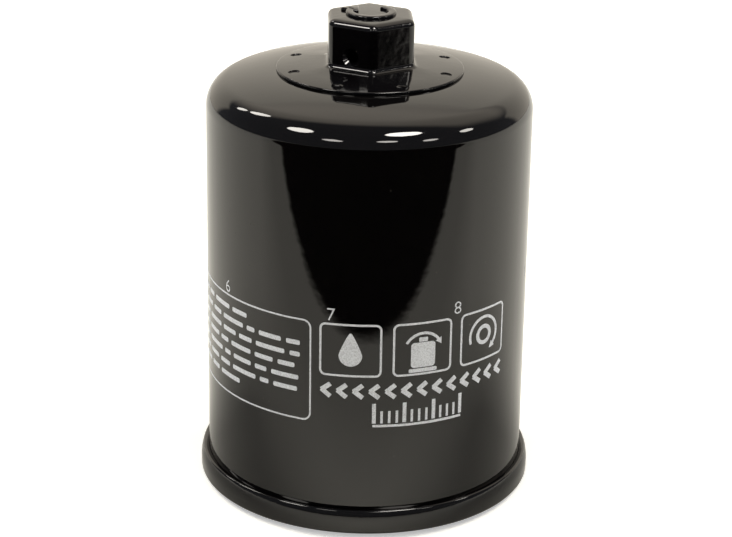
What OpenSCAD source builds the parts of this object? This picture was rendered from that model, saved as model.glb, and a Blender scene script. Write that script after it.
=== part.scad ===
// Spin-on oil filter for a small engine, standing on its gasket with the wrench nut on top.
// Origin: centre of the gasket's sealing face. +Z runs up the filter's axis to the closed end.

/* [Canister] */
// Outer diameter of the canister's side wall
can_d = 65; // [60:0.5:80]
// Thickness of the drawn steel of the canister
can_t = 0.55; // [0.4:0.05:0.7]
// Height at which the side wall ends and the shoulder starts
shoulder_z = 79.4; // [78:0.2:90]
// Outer radius of the rounded shoulder
shoulder_r = 5.5; // [4:0.1:8]
// Slope of the domed end where it meets the shoulder, in degrees
dome_slope = 15; // [10:0.5:20]

/* [Double seam] */
// Outer diameter of the double seam
seam_d = 68.3; // [68.2:0.05:69]
// Height of the double seam
seam_h = 5; // [4.6:0.1:5.4]
// Thickness of the steel of the seaming lid
lid_t = 0.5; // [0.4:0.05:0.55]
// Distance that the gasket stands out below the seam
gasket_proud = 1; // [0.6:0.1:1.6]

/* [Wrench nut] */
// Diameter of the flange that is welded to the closed end
flange_d = 37.2; // [34:0.2:40]
// Thickness of the flange at its rim
flange_t = 0.65; // [0.5:0.05:1.5]
// Slope of the flange's coned top, in degrees
flange_slope = 6.2; // [2:0.2:8]
// Distance across the flats of the hexagon
nut_af = 16.8; // [15:0.5:19]
// Height of the hexagon above the flange
nut_h = 9.7; // [8:0.1:14]
// Rounding of the hexagon's upright corners, turned down to the same reach
nut_corner_r = 1.8; // [0.8:0.1:2.4]
// Turn of the hexagon about the filter's axis, in degrees
nut_turn = 2.8; // [0:0.1:30]
// Diameter of the hole for the safety wire
wire_hole_d = 2.4; // [1.5:0.1:3]
// Height of the wire hole above the flange
wire_hole_h = 2.6; // [2:0.1:6]
// Number of weld pits round the flange
weld_count = 8; // [6:1:12]

/* [Thread plate] */
// Minor diameter of the M20 x 1.5 thread, to the crests of the female thread
thread_minor_d = 18.376; // [18.1:0.01:18.7]
// Thickness of the thread plate
plate_t = 3.6; // [3:0.1:4]
// Height of the threaded collar above the plate
collar_h = 4; // [3.6:0.1:4.4]
// Number of oil inlet holes
inlet_count = 8; // [6:1:9]
// Diameter of each inlet hole
inlet_d = 5.2; // [4:0.1:5.2]

/* [Mounting gasket] */
// Outer diameter of the mounting gasket
gasket_od = 62.5; // [61:0.1:62.6]
// Inner diameter of the mounting gasket
gasket_id = 54; // [53.6:0.1:56]
// Thickness of the mounting gasket
gasket_t = 4.4; // [4:0.1:4.6]

/* [Filter element] */
// Number of pleats in the paper
pleat_count = 40; // [30:1:44]
// Thickness of the paper
paper_t = 0.5; // [0.4:0.05:0.55]
// Height of the top of the element
element_top_z = 75; // [72:0.5:76]
// Inner diameter of the perforated centre tube
tube_id = 23.2; // [22.8:0.1:24]
// Rows of oil holes up the centre tube
tube_rows = 9; // [5:1:11]

/* [Bypass valve] */
// Travel of the bypass poppet from its seat
bypass_travel = 3; // [2:0.5:4]
// Wire diameter of the bypass spring
spring_wire_d = 1.2; // [0.9:0.1:1.4]
// Mean diameter of the bypass spring
spring_d = 13; // [11:0.5:15]
// Working coils in the bypass spring
spring_turns = 5; // [4:1:6]

/* [Hidden] */
$fn = 96;

// Small overshoot of a cut past the face that it opens
cut = 1;
// Gap between pieces that only rest near each other
gap = 0.05;

// Canister and double seam, from the outside in: lid wall, body hook, cover hook, can wall, lid wall
can_r = can_d / 2;
can_in_r = can_r - can_t;
seam_r = seam_d / 2;
seam_z = gasket_proud;
seam_top_z = seam_z + seam_h;
cover_hook_r = can_r + gap;
body_hook_r = cover_hook_r + lid_t + gap;
seam_wall_r = seam_r - lid_t;
chuck_wall_r = can_in_r - gap - lid_t;
hook_z = seam_z + lid_t + 0.3;
seam_round_r = 0.9;

// Closed end
dome_r = can_r - shoulder_r;
dome_edge_x = dome_r + shoulder_r * sin(dome_slope);
dome_edge_z = shoulder_z + shoulder_r * cos(dome_slope);
dome_end_r = (dome_edge_x - flange_d / 2) / (sin(dome_slope) - sin(flange_slope));
dome_centre_x = dome_edge_x - dome_end_r * sin(dome_slope);
dome_centre_z = dome_edge_z - dome_end_r * cos(dome_slope);
seat_z = dome_centre_z + dome_end_r * cos(flange_slope);
foot_r = 9;
foot_z = flange_at(foot_r);
nut_top_z = foot_z + nut_h;

// Open end
groove_z = gasket_t;
groove_in_r = gasket_id / 2 - gap - lid_t;
plate_z = groove_z + lid_t + gap;
plate_top_z = plate_z + plate_t;
plate_r = can_in_r - 0.35;
collar_top_z = plate_top_z + collar_h;
collar_r = 12.6;
boss_r = 16.2;
boss_top_z = plate_top_z + 2.2;
inlet_ring_r = 19;
thread_chamfer = 0.6;

// Element
cap_t = 0.6;
cap_r = 29;
cap_rim_h = 3;
lower_cap_z = collar_top_z + 0.6;
adhesive_t = 1.4;
media_z = lower_cap_z + cap_t + adhesive_t;
cap_top_z = element_top_z;
upper_cap_z = cap_top_z - cap_t;
media_top_z = upper_cap_z - adhesive_t;
tube_r = tube_id / 2;
tube_t = 0.6;
tube_z = lower_cap_z + cap_t;
tube_hole_d = 3.2;
media_in_r = tube_r + tube_t + 0.8;
media_out_r = 27.8;

// Bypass valve, hung under the upper end cap
bypass_hole_r = 7.6;
washer_t = 0.8;
washer_z = upper_cap_z - washer_t;
washer_r = 9.6;
valve_gap = 0.02;
seal_t = 0.9;
seal_z = washer_z - valve_gap - seal_t;
seal_r = 8.8;
poppet_t = 0.8;
poppet_z = seal_z - poppet_t;
poppet_r = 9.1;
stem_r = 1.5;
stem_clearance = 0.08;
cage_t = 0.6;
cage_r = tube_r - 0.2;
cage_z = 56;
stem_end_z = cage_z - 1.5;
spring_z = cage_z + cage_t;

// Square ring of revolution between two radii and two heights
module ring(r_in, r_out, z_low, z_high)
    rotate_extrude()
        translate([r_in, z_low])
            square([r_out - r_in, z_high - z_low]);

// Filled profile of the canister, shrunk by one wall thickness for its inside
module can_profile(inset) {
    steps = 8;
    slopes = [for (i = [0:steps]) dome_slope + (flange_slope - dome_slope) * i / steps];
    reach = dome_end_r - inset;
    dome = [for (i = [0:steps]) [dome_centre_x + reach * sin(slopes[i]),
                                 i < steps ? dome_centre_z + reach * cos(slopes[i]) : seat_z - inset]];
    union() {
        translate([0, seam_z])
            square([can_r - inset, shoulder_z - seam_z]);
        intersection() {
            translate([dome_r, shoulder_z]) circle(shoulder_r - inset);
            translate([dome_r, shoulder_z]) square(shoulder_r);
        }
        polygon(concat([[0, shoulder_z - cut], [dome_r, shoulder_z - cut]], dome,
                       [[0, seat_z - inset]]));
    }
}

// Deep-drawn can: side wall, rounded shoulder, domed end with a flat seat and the body hook of the seam
module canister_shell() color("#141314") {
    rotate_extrude() {
        difference() {
            can_profile(0);
            can_profile(can_t);
            square([can_r + cut, hook_z]);
        }
        translate([can_in_r, hook_z])
            square([body_hook_r + can_t - can_in_r, can_t]);
        translate([body_hook_r, hook_z])
            square([can_t, seam_top_z - lid_t - gap - hook_z]);
    }
}

// Stamped nut for the wrench: coned flange, hollow hexagon, weld pits and the cross hole for the wire
module wrench_nut() color("#1a191a") {
    pit_ball_r = 2.6;
    pit_depth = 0.3;
    pit_ring_r = flange_d / 2 - 2.5;
    crown_r = 2;
    hollow_r = 5;
    roof_t = 2.4;
    corner_r = nut_af / 2 / cos(30) - nut_corner_r * (1 / cos(30) - 1);
    difference() {
        union() {
            rotate_extrude()
                polygon([[0, seat_z], [flange_d / 2, seat_z], [flange_d / 2, seat_z + flange_t - 0.2],
                         [flange_d / 2 - 0.2, flange_at(flange_d / 2 - 0.2)], [foot_r, foot_z],
                         [0, foot_z]]);
            intersection() {
                rotate(nut_turn - 90)
                    translate([0, 0, foot_z - cut])
                        cylinder(d = nut_af / cos(30), h = nut_h + cut, $fn = 6);
                rotate_extrude() {
                    translate([0, seat_z])
                        square([corner_r, nut_top_z - seat_z - crown_r]);
                    translate([0, seat_z])
                        square([corner_r - crown_r, nut_top_z - seat_z]);
                    translate([corner_r - crown_r, nut_top_z - crown_r])
                        circle(crown_r);
                }
            }
        }
        translate([0, 0, seat_z - cut])
            cylinder(r = hollow_r, h = nut_top_z - seat_z - roof_t + cut);
        for (i = [0:weld_count - 1])
            rotate((i + 0.5) * 360 / weld_count)
                translate([pit_ring_r, 0, flange_at(pit_ring_r) + pit_ball_r - pit_depth])
                    sphere(pit_ball_r, $fn = 24);
        rotate(nut_turn - 120)
            translate([-nut_af, 0, foot_z + wire_hole_h])
                rotate([0, 90, 0])
                    cylinder(d = wire_hole_d, h = 2 * nut_af);
    }
}

// Thin pressed lid: gasket groove, chuck wall and the outer wrap of the double seam
module seaming_lid() color("#b9bab6") {
    rotate_extrude() {
        // Outer wrap with its rounded corners
        difference() {
            union() {
                translate([cover_hook_r, seam_z])
                    square([seam_r - cover_hook_r - seam_round_r, seam_h]);
                translate([cover_hook_r, seam_z + seam_round_r])
                    square([seam_r - cover_hook_r, seam_h - 2 * seam_round_r]);
                translate([seam_r - seam_round_r, seam_z + seam_round_r])
                    circle(seam_round_r);
                translate([seam_r - seam_round_r, seam_top_z - seam_round_r])
                    circle(seam_round_r);
            }
            translate([cover_hook_r - cut, seam_z + lid_t])
                square([seam_wall_r - cover_hook_r + cut, seam_h - 2 * lid_t]);
        }
        // Cover hook, turned down behind the body hook
        translate([cover_hook_r, hook_z + can_t + 0.4])
            square([lid_t, seam_top_z - hook_z - can_t - 0.4]);
        // Seaming panel under the can's edge
        translate([chuck_wall_r, seam_z])
            square([seam_r - chuck_wall_r - seam_round_r, lid_t]);
        // Chuck wall, groove floor and the inner wall that keeps the gasket in
        translate([chuck_wall_r, seam_z])
            square([lid_t, groove_z + lid_t - seam_z]);
        translate([groove_in_r, groove_z])
            square([chuck_wall_r + lid_t - groove_in_r, lid_t]);
        translate([groove_in_r, seam_z + 0.8])
            square([lid_t, groove_z - seam_z - 0.8]);
    }
}

// Sealing compound that fills the fold of the double seam
module seam_compound() color("#7c8a6a")
    ring(can_in_r, body_hook_r + can_t, seam_z + lid_t, hook_z);

// Thick steel plate with the M20 x 1.5 collar and the ring of inlet holes
module thread_plate() color("#8f908c") {
    thread_r = thread_minor_d / 2;
    difference() {
        rotate_extrude()
            polygon([[thread_r + thread_chamfer, plate_z], [plate_r, plate_z],
                     [plate_r, plate_top_z], [boss_r, plate_top_z], [boss_r - 0.6, boss_top_z],
                     [collar_r, boss_top_z], [collar_r, collar_top_z], [thread_r, collar_top_z],
                     [thread_r, plate_z + thread_chamfer]]);
        for (i = [0:inlet_count - 1])
            rotate(i * 360 / inlet_count)
                translate([inlet_ring_r, 0, plate_z - cut])
                    cylinder(d = inlet_d, h = plate_t + 2 * cut);
    }
}

// Square-section rubber gasket that seals against the engine
module mounting_gasket() color("#1c1c1d")
    ring(gasket_id / 2, gasket_od / 2, 0, groove_z - gap);

// Rubber cone that lies over the inlet holes and keeps oil from draining back
module drainback_valve() color("#6e3a22") {
    rim_top_z = lower_cap_z - gap;
    rim_z = boss_top_z + gap;
    lip_r = 25.4;
    lip_z = plate_top_z + gap;
    skin = 0.9;
    rotate_extrude()
        polygon([[collar_r + gap, rim_z], [boss_r - 0.7, rim_z], [boss_r + 0.9, rim_z - 0.6],
                 [lip_r - 2.4, lip_z + 0.1], [lip_r - 2, lip_z], [lip_r, lip_z],
                 [lip_r, lip_z + skin], [boss_r + 1.4, rim_z + 0.6],
                 [boss_r - 0.7, rim_top_z], [collar_r + gap, rim_top_z]]);
}

// Pressed cap that holds the lower end of the paper and sits on the drain-back valve
module lower_end_cap() color("#c7c8c4") {
    ring(collar_r - 2, cap_r, lower_cap_z, lower_cap_z + cap_t);
    ring(cap_r - cap_t, cap_r, lower_cap_z, lower_cap_z + cap_rim_h);
}

// Bed of cured adhesive between the lower cap and the paper
module lower_adhesive() color("#9a8f78")
    ring(tube_r + tube_t + gap, cap_r - cap_t - gap, tube_z, media_z);

// Pleated filter paper, folded into a closed star
module pleated_media() color("#d8c48a") {
    pitch = 360 / pleat_count;
    deg = 180 / PI;
    tip = 0.85;
    root = 0.15;
    outer = [for (i = [0:pleat_count - 1]) each [
        polar(media_out_r, i * pitch - tip / media_out_r * deg),
        polar(media_out_r, i * pitch + tip / media_out_r * deg),
        polar(media_in_r + paper_t, (i + 0.5) * pitch - root / media_in_r * deg),
        polar(media_in_r + paper_t, (i + 0.5) * pitch + root / media_in_r * deg)]];
    inner = [for (i = [0:pleat_count - 1]) each [
        polar(media_out_r - paper_t, i * pitch - (tip - paper_t) / media_out_r * deg),
        polar(media_out_r - paper_t, i * pitch + (tip - paper_t) / media_out_r * deg),
        polar(media_in_r, (i + 0.5) * pitch - (root + paper_t) / media_in_r * deg),
        polar(media_in_r, (i + 0.5) * pitch + (root + paper_t) / media_in_r * deg)]];
    translate([0, 0, media_z])
        linear_extrude(media_top_z - media_z)
            difference() {
                polygon(outer);
                polygon(inner);
            }
}

// Folded steel strip that closes the joint of the paper over its first pleat
module media_seam_clip() color("#c7c8c4") {
    slot_w = 1.9;
    wall = 0.3;
    depth = 3;
    back_r = cap_r - cap_t - gap;
    difference() {
        translate([back_r - depth, -slot_w / 2 - wall, media_z])
            cube([depth, slot_w + 2 * wall, media_top_z - media_z]);
        translate([back_r - depth - cut, -slot_w / 2, media_z - cut])
            cube([depth - wall + cut, slot_w, media_top_z - media_z + 2 * cut]);
    }
}

// Perforated steel tube that holds the paper up against the oil pressure
module center_tube() color("#c7c8c4") {
    row_pitch = (media_top_z - media_z) / (tube_rows + 1);
    holes_round = 12;
    difference() {
        ring(tube_r, tube_r + tube_t, tube_z, upper_cap_z);
        for (row = [1:tube_rows])
            for (i = [0:holes_round - 1])
                rotate((i + (row % 2) / 2) * 360 / holes_round)
                    translate([tube_r - cut, 0, media_z + row * row_pitch])
                        rotate([0, 90, 0])
                            cylinder(d = tube_hole_d, h = tube_t + 2 * cut, $fn = 24);
    }
}

// Bed of cured adhesive between the paper and the upper cap
module upper_adhesive() color("#9a8f78")
    ring(tube_r + tube_t + gap, cap_r - cap_t - gap, media_top_z, upper_cap_z);

// Pressed cap that closes the element's upper end, open only at the bypass port
module upper_end_cap() color("#c7c8c4") {
    ring(bypass_hole_r, cap_r, upper_cap_z, cap_top_z);
    ring(cap_r - cap_t, cap_r, cap_top_z - cap_rim_h, cap_top_z);
}

// Flat washer under the bypass port that the rubber seal closes on
module bypass_seat_washer() color("#b79a55")
    ring(bypass_hole_r, washer_r, washer_z, upper_cap_z);

// Rubber disc bonded to the poppet
module bypass_seal() color("#1c1c1d")
    translate([0, 0, seal_z])
        cylinder(r = seal_r, h = seal_t);

// Steel poppet: disc, guide stem and the shoulder that centres the spring
module bypass_poppet() color("#b9bab6") {
    rotate_extrude()
        polygon([[0, stem_end_z], [stem_r - 0.4, stem_end_z], [stem_r, stem_end_z + 0.4],
                 [stem_r, poppet_z - 1.4], [spring_d / 2 - spring_wire_d, poppet_z - 1.4],
                 [spring_d / 2 - spring_wire_d, poppet_z], [poppet_r, poppet_z],
                 [poppet_r, poppet_z + poppet_t], [0, poppet_z + poppet_t]]);
}

// Compression spring that holds the poppet on its seat, with one closed coil at each end
module bypass_spring() color("#8f9194") {
    sides = 8;
    steps = 20;
    wire_r = spring_wire_d / 2;
    low_z = spring_z + wire_r + 0.02;
    high_z = poppet_z - wire_r - 0.02;
    total_turns = spring_turns + 2;
    count = total_turns * steps;
    rise = high_z - low_z - 2 * spring_wire_d * 1.05;
    points = [for (k = [0:count]) for (s = [0:sides - 1])
        let (turn = k / steps,
             z = low_z + coil_rise(turn, total_turns, rise),
             around = turn * 360,
             r = spring_d / 2 + wire_r * cos(s * 360 / sides))
        [r * cos(around), r * sin(around), z + wire_r * sin(s * 360 / sides)]];
    walls = [for (k = [0:count - 1]) for (s = [0:sides - 1])
        [k * sides + s, k * sides + (s + 1) % sides,
         (k + 1) * sides + (s + 1) % sides, (k + 1) * sides + s]];
    ends = [[for (s = [0:sides - 1]) sides - 1 - s],
            [for (s = [0:sides - 1]) count * sides + s]];
    polyhedron(points = points, faces = concat(walls, ends), convexity = 10);
}

// Stamped cage that hangs from the upper cap and holds the spring and the stem
module bypass_cage() color("#c7c8c4") {
    leg_count = 4;
    leg_w = 5;
    ring(washer_r + gap, cage_r, upper_cap_z - cage_t, upper_cap_z);
    ring(stem_r + stem_clearance, cage_r, cage_z, cage_z + cage_t);
    intersection() {
        ring(cage_r - cage_t, cage_r, cage_z, upper_cap_z);
        for (i = [0:leg_count / 2 - 1])
            rotate(i * 360 / leg_count)
                translate([-cage_r, -leg_w / 2, cage_z])
                    cube([2 * cage_r, leg_w, upper_cap_z - cage_z]);
    }
}

// Leaf spring between the closed end and the element, which holds the element down
module element_spring() color("#8f9194") {
    leaf_t = 0.7;
    leaf_w = 7;
    leaf_count = 3;
    ring_in_r = 10;
    ring_out_r = 15;
    bend_x = ring_out_r - 0.6;
    foot_l = 2;
    base_z = cap_top_z + gap;
    top_z = seat_z - can_t - 1.25;
    bend_r = (top_z - base_z - leaf_t) / 2;
    ring(ring_in_r, ring_out_r, base_z, base_z + leaf_t);
    for (i = [0:leaf_count - 1])
        rotate([90, 0, i * 360 / leaf_count])
            translate([0, 0, -leaf_w / 2])
                linear_extrude(leaf_w) {
                    translate([bend_x, base_z + leaf_t / 2 + bend_r])
                        quarter_bend(bend_r, leaf_t);
                    translate([bend_x + 2 * bend_r, base_z + leaf_t / 2 + bend_r])
                        rotate(180) quarter_bend(bend_r, leaf_t);
                    translate([bend_x + 2 * bend_r, top_z - leaf_t])
                        square([foot_l, leaf_t]);
                }
}

// Quarter turn of a strip, from straight down to straight right of the bend's centre
module quarter_bend(bend_r, strip_t) {
    intersection() {
        difference() {
            circle(bend_r + strip_t / 2);
            circle(bend_r - strip_t / 2);
        }
        translate([0, -2 * bend_r]) square(2 * bend_r);
    }
}

// Height of the flange's coned top at a radius
function flange_at(r) = seat_z + flange_t + (flange_d / 2 - r) * tan(flange_slope);

// Point at a radius and an angle
function polar(r, a) = [r * cos(a), r * sin(a)];

// Height of the spring's wire after a number of turns: a closed coil, open coils, a closed coil
function coil_rise(turn, turns, rise) =
    let (closed = spring_wire_d * 1.05)
    turn < 1 ? turn * closed
    : turn > turns - 1 ? closed + rise + (turn - turns + 1) * closed
    : closed + (turn - 1) / (turns - 2) * rise;

canister_shell();
wrench_nut();
seaming_lid();
seam_compound();
thread_plate();
mounting_gasket();
drainback_valve();
lower_end_cap();
lower_adhesive();
pleated_media();
media_seam_clip();
center_tube();
upper_adhesive();
upper_end_cap();
bypass_seat_washer();
bypass_seal();
bypass_poppet();
bypass_spring();
bypass_cage();
element_spring();
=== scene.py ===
# %% [markdown]
# # A spin-on oil filter
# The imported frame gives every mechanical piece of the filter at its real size. This lesson builds the
# pieces whose looks need more than a plain solid, and gives every piece its finish.

# %% Load the frame
import math
from collections import Counter

import bmesh
import bpy
from mathutils import Matrix, Quaternion, Vector


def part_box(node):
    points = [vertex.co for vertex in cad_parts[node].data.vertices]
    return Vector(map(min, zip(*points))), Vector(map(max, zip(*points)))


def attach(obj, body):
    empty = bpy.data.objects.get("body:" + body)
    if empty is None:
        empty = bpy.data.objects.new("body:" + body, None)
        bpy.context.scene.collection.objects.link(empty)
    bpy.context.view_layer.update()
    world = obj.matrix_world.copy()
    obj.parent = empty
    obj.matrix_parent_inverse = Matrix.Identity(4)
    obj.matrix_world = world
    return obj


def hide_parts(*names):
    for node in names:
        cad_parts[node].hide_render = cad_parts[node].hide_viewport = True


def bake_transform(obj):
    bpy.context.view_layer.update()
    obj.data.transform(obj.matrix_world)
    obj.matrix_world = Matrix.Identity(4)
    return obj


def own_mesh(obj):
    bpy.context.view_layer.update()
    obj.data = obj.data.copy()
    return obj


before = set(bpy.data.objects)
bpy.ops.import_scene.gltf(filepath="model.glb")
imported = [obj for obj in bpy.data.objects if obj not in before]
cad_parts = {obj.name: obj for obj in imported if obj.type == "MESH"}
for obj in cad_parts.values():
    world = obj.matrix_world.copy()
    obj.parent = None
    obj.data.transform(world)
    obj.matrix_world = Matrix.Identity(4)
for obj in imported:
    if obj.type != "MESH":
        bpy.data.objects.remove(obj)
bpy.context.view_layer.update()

# %% [markdown]
# ## Working units
# The frame is in metres and all sizes here are in millimetres, so one factor turns one into the other.
# Heights and radii are read from the frame's own pieces, so a change in the design moves the looks too.

# %% Sizes read from the frame
MM = 0.001
HOUSING = "housing"
AROUND = 224  # facets round the can: fine enough that a gloss finish shows none


def low(node):
    """Height of the underside of a piece of the frame."""
    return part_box(node)[0][2] / MM


def high(node):
    """Height of the top of a piece of the frame."""
    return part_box(node)[1][2] / MM


def reach_of(node):
    """Outer radius of a turned piece of the frame, in millimetres."""
    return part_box(node)[1][0] / MM


wall = 0.55  # steel of the can
sheet = 0.5  # steel of the lid
can_r = 32.5
seam_r = reach_of("seaming_lid")
seam_low = low("seaming_lid")
seam_top = high("seaming_lid")
flange_r = reach_of("wrench_nut")
seat_z = low("wrench_nut")
nut_top = high("wrench_nut")
print("can radius", can_r, "seam radius", round(seam_r, 3), "flange radius", round(flange_r, 3))

# %% [markdown]
# ## Small helpers
# A colour is picked as it looks on a screen, so one function turns its hex value into the linear
# numbers that light is worked out with. Another adds one shader node with its settings and links.

# %% Helpers for colours and nodes


def linear(hex_colour):
    """Linear red, green, blue and alpha of a screen colour such as '#204060'."""
    parts = [int(hex_colour[i:i + 2], 16) / 255 for i in (1, 3, 5)]
    return [p / 12.92 if p <= 0.04045 else ((p + 0.055) / 1.055) ** 2.4 for p in parts] + [1.0]


def add_node(tree, kind, inputs=None, **settings):
    """One shader node, its settings made and its inputs set or linked."""
    made = tree.nodes.new("ShaderNode" + kind)
    for name, value in settings.items():
        setattr(made, name, value)
    for name, value in (inputs or {}).items():
        if isinstance(value, bpy.types.NodeSocket):
            tree.links.new(value, made.inputs[name])
        else:
            made.inputs[name].default_value = value
    return made


def new_material(name):
    """An empty material, its node tree and its object-coordinate socket."""
    print("finish:", name)
    material = bpy.data.materials.new(name)
    material.use_nodes = True
    tree = material.node_tree
    tree.nodes.clear()
    place = add_node(tree, "TexCoord").outputs["Object"]
    return material, tree, place


def close_material(tree, shader):
    """Links the finished shader to the material's output."""
    add_node(tree, "OutputMaterial", {"Surface": shader.outputs[0]})


def coat(tree, share, hexes, reliefs, **inputs):
    """The common end of the finishes: two colours mixed by a share, and reliefs one over the other, each a
    height, a strength and a depth in millimetres."""
    tint = add_node(tree, "Mix", {0: share, 6: linear(hexes[0]), 7: linear(hexes[1])}, data_type="RGBA")
    under = {}
    for height, strength, depth_mm in reliefs:
        bump = add_node(tree, "Bump", {"Height": height, "Strength": strength, "Distance": depth_mm * MM,
                                       **under})
        under = {"Normal": bump.outputs[0]}
    inputs = {"Base Color": tint.outputs[2], **inputs, **under}
    close_material(tree, add_node(tree, "BsdfPrincipled", inputs))


print("screen colour #060505 is", [round(v, 5) for v in linear("#060505")], "in light")

# %% [markdown]
# ## Camera
# A long lens stands well back and above the filter, as for a catalogue picture, and looks down on it by
# about twenty degrees. The camera leans by about a degree.

# %% Camera
eye = Vector((0.0, -431.4, 210.7)) * MM
aim = Vector((-0.18, 0.0, 44.2)) * MM
lean = 0.016
camera_data = bpy.data.cameras.new("catalogue_camera")
camera_data.lens = 111.15
camera_data.clip_start = 0.01
camera_data.clip_end = 20.0
camera = bpy.data.objects.new("catalogue_camera", camera_data)
camera.location = eye
camera.rotation_mode = "QUATERNION"
camera.rotation_quaternion = (aim - eye).to_track_quat("-Z", "Y") @ Quaternion((0, 0, 1), lean)
bpy.context.scene.collection.objects.link(camera)
bpy.context.scene.camera = camera
print("camera at", [round(v, 3) for v in camera.location])

# %% [markdown]
# ## Table and studio
# Gloss black paint has almost no colour of its own: what is seen on it is the room. The white table
# gives its grey, a wide round of black felt in front gives the black window in the middle, and a few small
# lamps give the bright strokes on the shoulder. So the room is built first, and the paint answers it.

# %% Table and room
bpy.context.scene.view_settings.view_transform = "Standard"
bpy.ops.object.select_all(action="DESELECT")


def glow_material(name, hex_colour, strength, rim=0.0):
    """Light for a studio card. A rim fades out over a share of the card, as cloth over a lamp does."""
    material, tree, _ = new_material(name)
    glow = add_node(tree, "Emission", {"Color": linear(hex_colour), "Strength": strength})
    if rim:
        split = add_node(tree, "SeparateXYZ", {"Vector": add_node(tree, "TexCoord").outputs["UV"]})
        fades = []
        for axis in "XY":
            off = add_node(tree, "Math", {0: split.outputs[axis], 1: 0.5}, operation="SUBTRACT")
            away = add_node(tree, "Math", {0: off.outputs[0]}, operation="ABSOLUTE")
            fades.append(add_node(tree, "MapRange", {"Value": away.outputs[0], "From Min": 0.5,
                                                     "From Max": 0.5 - rim},
                                  interpolation_type="SMOOTHSTEP"))
        both = add_node(tree, "Math", {0: fades[0].outputs[0], 1: fades[1].outputs[0]}, operation="MULTIPLY")
        clear = add_node(tree, "BsdfTransparent")
        glow = add_node(tree, "MixShader", {0: both.outputs[0], 1: clear.outputs[0], 2: glow.outputs[0]})
    close_material(tree, glow)
    return material


def table_material(window):
    """Matt white laminate that a camera exposed for black paint sees as plain white. It is clear from below,
    with a window under the filter, so that the underside is seen too."""
    material, tree, place = new_material("matt white laminate")
    matt = add_node(tree, "BsdfDiffuse", {"Color": linear("#f6f3ea"), "Roughness": 1.0})
    seen = add_node(tree, "LightPath").outputs["Is Camera Ray"]
    lift = add_node(tree, "Math", {0: seen, 1: 0.45}, operation="MULTIPLY")
    glow = add_node(tree, "Emission", {"Strength": lift.outputs[0]})
    above = add_node(tree, "AddShader", {0: matt.outputs[0], 1: glow.outputs[0]})
    clear = add_node(tree, "BsdfTransparent")
    below = add_node(tree, "NewGeometry").outputs["Backfacing"]
    away = add_node(tree, "VectorMath", {0: place}, operation="LENGTH")
    under = add_node(tree, "Math", {0: away.outputs["Value"], 1: window}, operation="LESS_THAN")
    open_here = add_node(tree, "Math", {0: below, 1: under.outputs[0]}, operation="MAXIMUM")
    close_material(tree, add_node(tree, "MixShader", {0: open_here.outputs[0], 1: above.outputs[0],
                                                      2: clear.outputs[0]}))
    return material


def felt_material(centre, radius):
    """Black felt whose round edge is worn thin over a centimetre and a half, on a wider round of gauze."""
    material, tree, place = new_material("black felt")
    away = add_node(tree, "VectorMath", {0: place, 1: centre}, operation="DISTANCE")
    fade = add_node(tree, "MapRange", {"Value": away.outputs["Value"], "From Min": radius + 0.006,
                                       "From Max": radius - 0.010}, interpolation_type="SMOOTHSTEP")
    gauze = add_node(tree, "MapRange", {"Value": away.outputs["Value"], "From Min": radius + 0.085,
                                        "From Max": radius + 0.035, "To Max": 0.27})
    cover = add_node(tree, "Math", {0: fade.outputs[0], 1: gauze.outputs[0]}, operation="MAXIMUM")
    clear = add_node(tree, "BsdfTransparent")
    felt = add_node(tree, "BsdfDiffuse", {"Color": linear("#040404")})
    close_material(tree, add_node(tree, "MixShader", {0: cover.outputs[0], 1: clear.outputs[0],
                                                      2: felt.outputs[0]}))
    return material


def stage_card(name, size, place, turn, material, points=4, in_view=False):
    """A flat card of the studio, round if it has many points. Unless it is in view it only shows in gloss
    and casts no shade."""
    if points == 4:
        bpy.ops.mesh.primitive_plane_add(size=1.0)
    else:
        bpy.ops.mesh.primitive_circle_add(vertices=points, radius=0.5, fill_type="NGON")
    card = bpy.context.object
    card.name = name
    card.data.transform(Matrix.Diagonal((size[0], size[1], 1.0, 1.0)))
    card.data.transform(Matrix.Translation(place) @ turn)
    card.data.materials.append(material)
    if not in_view:
        for ray in ("camera", "diffuse", "shadow", "transmission", "volume_scatter"):
            setattr(card, "visible_" + ray, False)


FLAT = Matrix.Identity(4)
window_r = 0.030
stage_card("table", (6.0, 6.0), (0, 0, -0.00002), FLAT, table_material(window_r), in_view=True)
felt_r = 1.5
felt_middle = (0, -1.627, 0.0006)
stage_card("front_card", (3.2, 3.2), felt_middle, FLAT, felt_material(felt_middle, felt_r))


def facing_card(name, size, direction, material, points=4):
    """A card a metre away, in a direction given by its turn from the back and its height."""
    turn, height = (math.radians(v) for v in direction)
    away = Vector((math.sin(turn) * math.cos(height), math.cos(turn) * math.cos(height), math.sin(height)))
    facing = (-away).to_track_quat("Z", "Y").to_matrix().to_4x4()
    stage_card(name, size, away + Vector((0, 0, 0.08)), facing, material, points)


WALLS = [("back_wall", (4, 16), (3.4, 0.9), 1.05, "#fff6e6", 0.12),
         ("top_light", (15, 58), (2.6, 1.15), 1.15, "#fff4e4", 0.3)]
for name, direction, size, strength, tint, rim in WALLS:
    facing_card(name, size, direction, glow_material(name, tint, strength, rim))
LAMPS = [("lamp_left", (-60, 45.6), (0.15, 0.21), 14.0),
         ("lamp_rear_left", (-55, 34.6), (0.10, 0.15), 11.0),
         ("lamp_front_left", (-118.3, 47.4), (0.28, 0.26), 20.0),
         ("lamp_front_right", (146.1, 56.7), (0.36, 0.27), 28.0),
         ("lamp_right", (101.6, 32.7), (0.18, 0.14), 14.0),
         ("lamp_low_left", (-153.8, 28.6), (0.23, 0.12), 11.0),
         ("lamp_low_mid", (166.7, 31.3), (0.23, 0.11), 12.0),
         ("lamp_low_right", (135.8, 25.3), (0.19, 0.11), 11.0)]
for name, direction, size, strength in LAMPS:
    facing_card(name, size, direction, glow_material(name, "#fffaf2", strength), points=48)
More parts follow.
